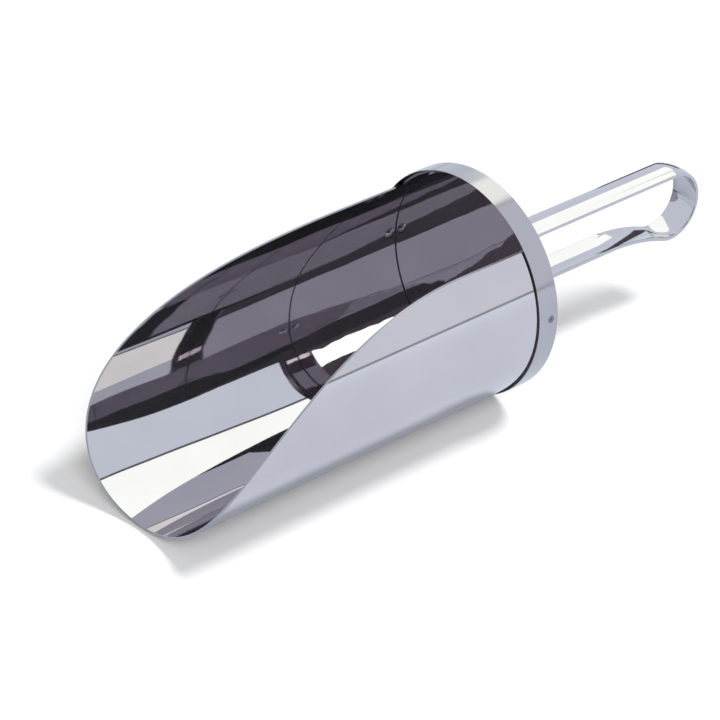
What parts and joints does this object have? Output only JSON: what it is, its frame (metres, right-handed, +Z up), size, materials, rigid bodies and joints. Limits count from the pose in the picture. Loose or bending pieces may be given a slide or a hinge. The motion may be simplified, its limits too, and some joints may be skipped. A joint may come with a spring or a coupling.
{
  "type": "ice scoop",
  "caption": "Polished steel hand scoop: a tube cut to a long slanted mouth, a shallow end cap and a bent-strip loop handle.",
  "frame": {"origin": "centre of the scoop's bounding box in X and Y, at its lowest point, the bottom of the cap's rim", "axes": "+X along the tube's axis from the tip to the handle, +Z up out of the mouth, +Y to the side"},
  "size_m": [0.257, 0.0818, 0.0818],
  "materials": {
    "mirror_steel": "mirror-polished stainless steel",
    "satin_steel": "fine satin turned stainless steel",
    "handle_steel": "polished stainless steel strip",
    "rivet_steel": "plain stainless steel",
    "sealant": "dark sealing bead"
  },
  "bodies": {
    "root": {"scoop_body": "mirror_steel", "end_cap": "satin_steel", "cap_seal": "sealant", "cap_rivet_near": "rivet_steel", "cap_rivet_far": "rivet_steel", "handle": "handle_steel", "handle_rivet_top": "rivet_steel", "handle_rivet_bottom": "rivet_steel"}
  },
  "joints": []
}
